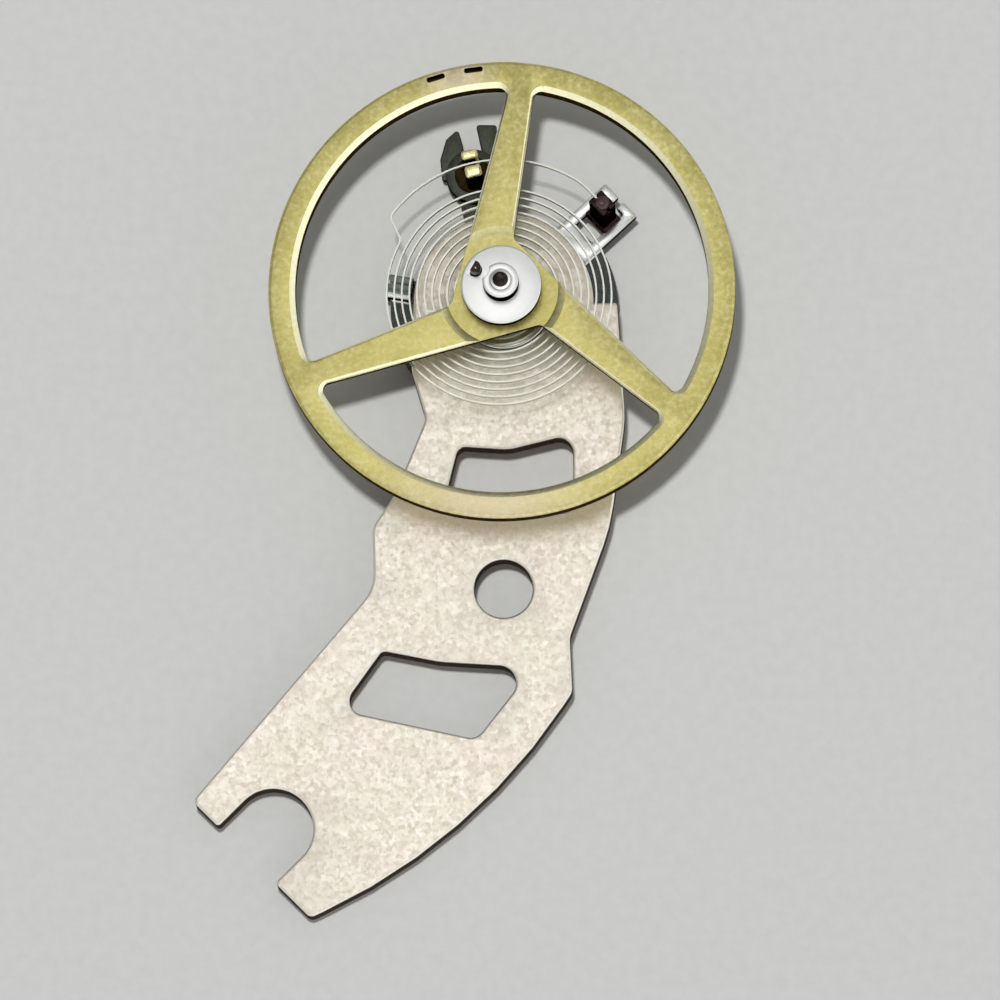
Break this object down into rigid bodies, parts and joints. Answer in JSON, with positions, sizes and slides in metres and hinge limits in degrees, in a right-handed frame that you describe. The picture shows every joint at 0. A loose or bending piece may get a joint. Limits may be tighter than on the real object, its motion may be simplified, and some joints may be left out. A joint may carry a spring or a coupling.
{
  "type": "balance complete on its bridge",
  "caption": "Watch balance with hairspring and rollers on a forked bridge, with regulator, stud carrier and shock setting.",
  "frame": {"origin": "where the balance staff's axis meets the bridge's seating face, on the wheel's side", "axes": "+Z along the staff from the bridge to the wheel, -Y from the staff to the bridge's screw hole, +X to the right seen with the wheel towards the viewer and the fork down"},
  "size_m": [0.0111, 0.0176, 0.0036],
  "materials": {
    "wheel_brass": "satin brass with brighter bevels",
    "yellow_brass": "polished brass",
    "polished_steel": "polished steel",
    "dark_steel": "dark satin steel",
    "spring_alloy": "bright drawn strip",
    "frosted_nickel": "frosted nickel plate",
    "ruby": "polished synthetic ruby",
    "shellac": "dark set resin"
  },
  "bodies": {
    "bridge": {"balance_bridge": "frosted_nickel", "shock_block": "polished_steel", "shock_spring": "spring_alloy"},
    "jewel_setting": {"jewel_setting": "yellow_brass", "hole_jewel": "ruby", "cap_jewel": "ruby"},
    "stud_carrier": {"stud_carrier": "polished_steel", "hairspring_stud": "dark_steel", "stud_shellac": "shellac", "hairspring": "spring_alloy"},
    "balance": {"balance_wheel": "wheel_brass", "balance_staff": "polished_steel", "roller_table": "polished_steel", "safety_roller": "polished_steel", "impulse_jewel": "ruby", "jewel_shellac": "shellac", "hairspring_collet": "yellow_brass"},
    "regulator": {"regulator_index": "dark_steel"},
    "curb_key": {"curb_key": "yellow_brass"}
  },
  "joints": [
    {"name": "stud_carrier_turn", "type": "hinge", "parent": "bridge", "child": "stud_carrier", "pos_m": [0, 0, -0.00066], "axis": [0, 0, 1], "range_deg": [-10, 10]},
    {"name": "balance_swing", "type": "hinge", "parent": "stud_carrier", "child": "balance", "pos_m": [0, 0, 0.001], "axis": [0, 0, 1], "range_deg": [-300, 300], "stiffness_Nm_per_rad": 0.00000045, "deforming": ["hairspring"]},
    {"name": "regulator_turn", "type": "hinge", "parent": "bridge", "child": "regulator", "pos_m": [0, 0, -0.00087], "axis": [0, 0, 1], "range_deg": [-12, 12]},
    {"name": "curb_key_turn", "type": "hinge", "parent": "regulator", "child": "curb_key", "pos_m": [-0.00065, 0.0028, -0.0007], "axis": [0, 0, 1], "range_deg": [-12, 12]},
    {"name": "setting_lift", "type": "slide", "parent": "bridge", "child": "jewel_setting", "axis": [0, 0, -1], "range_m": [0, 0.00004], "stiffness_N_per_m": 1000, "deforming": ["shock_spring"]}
  ]
}
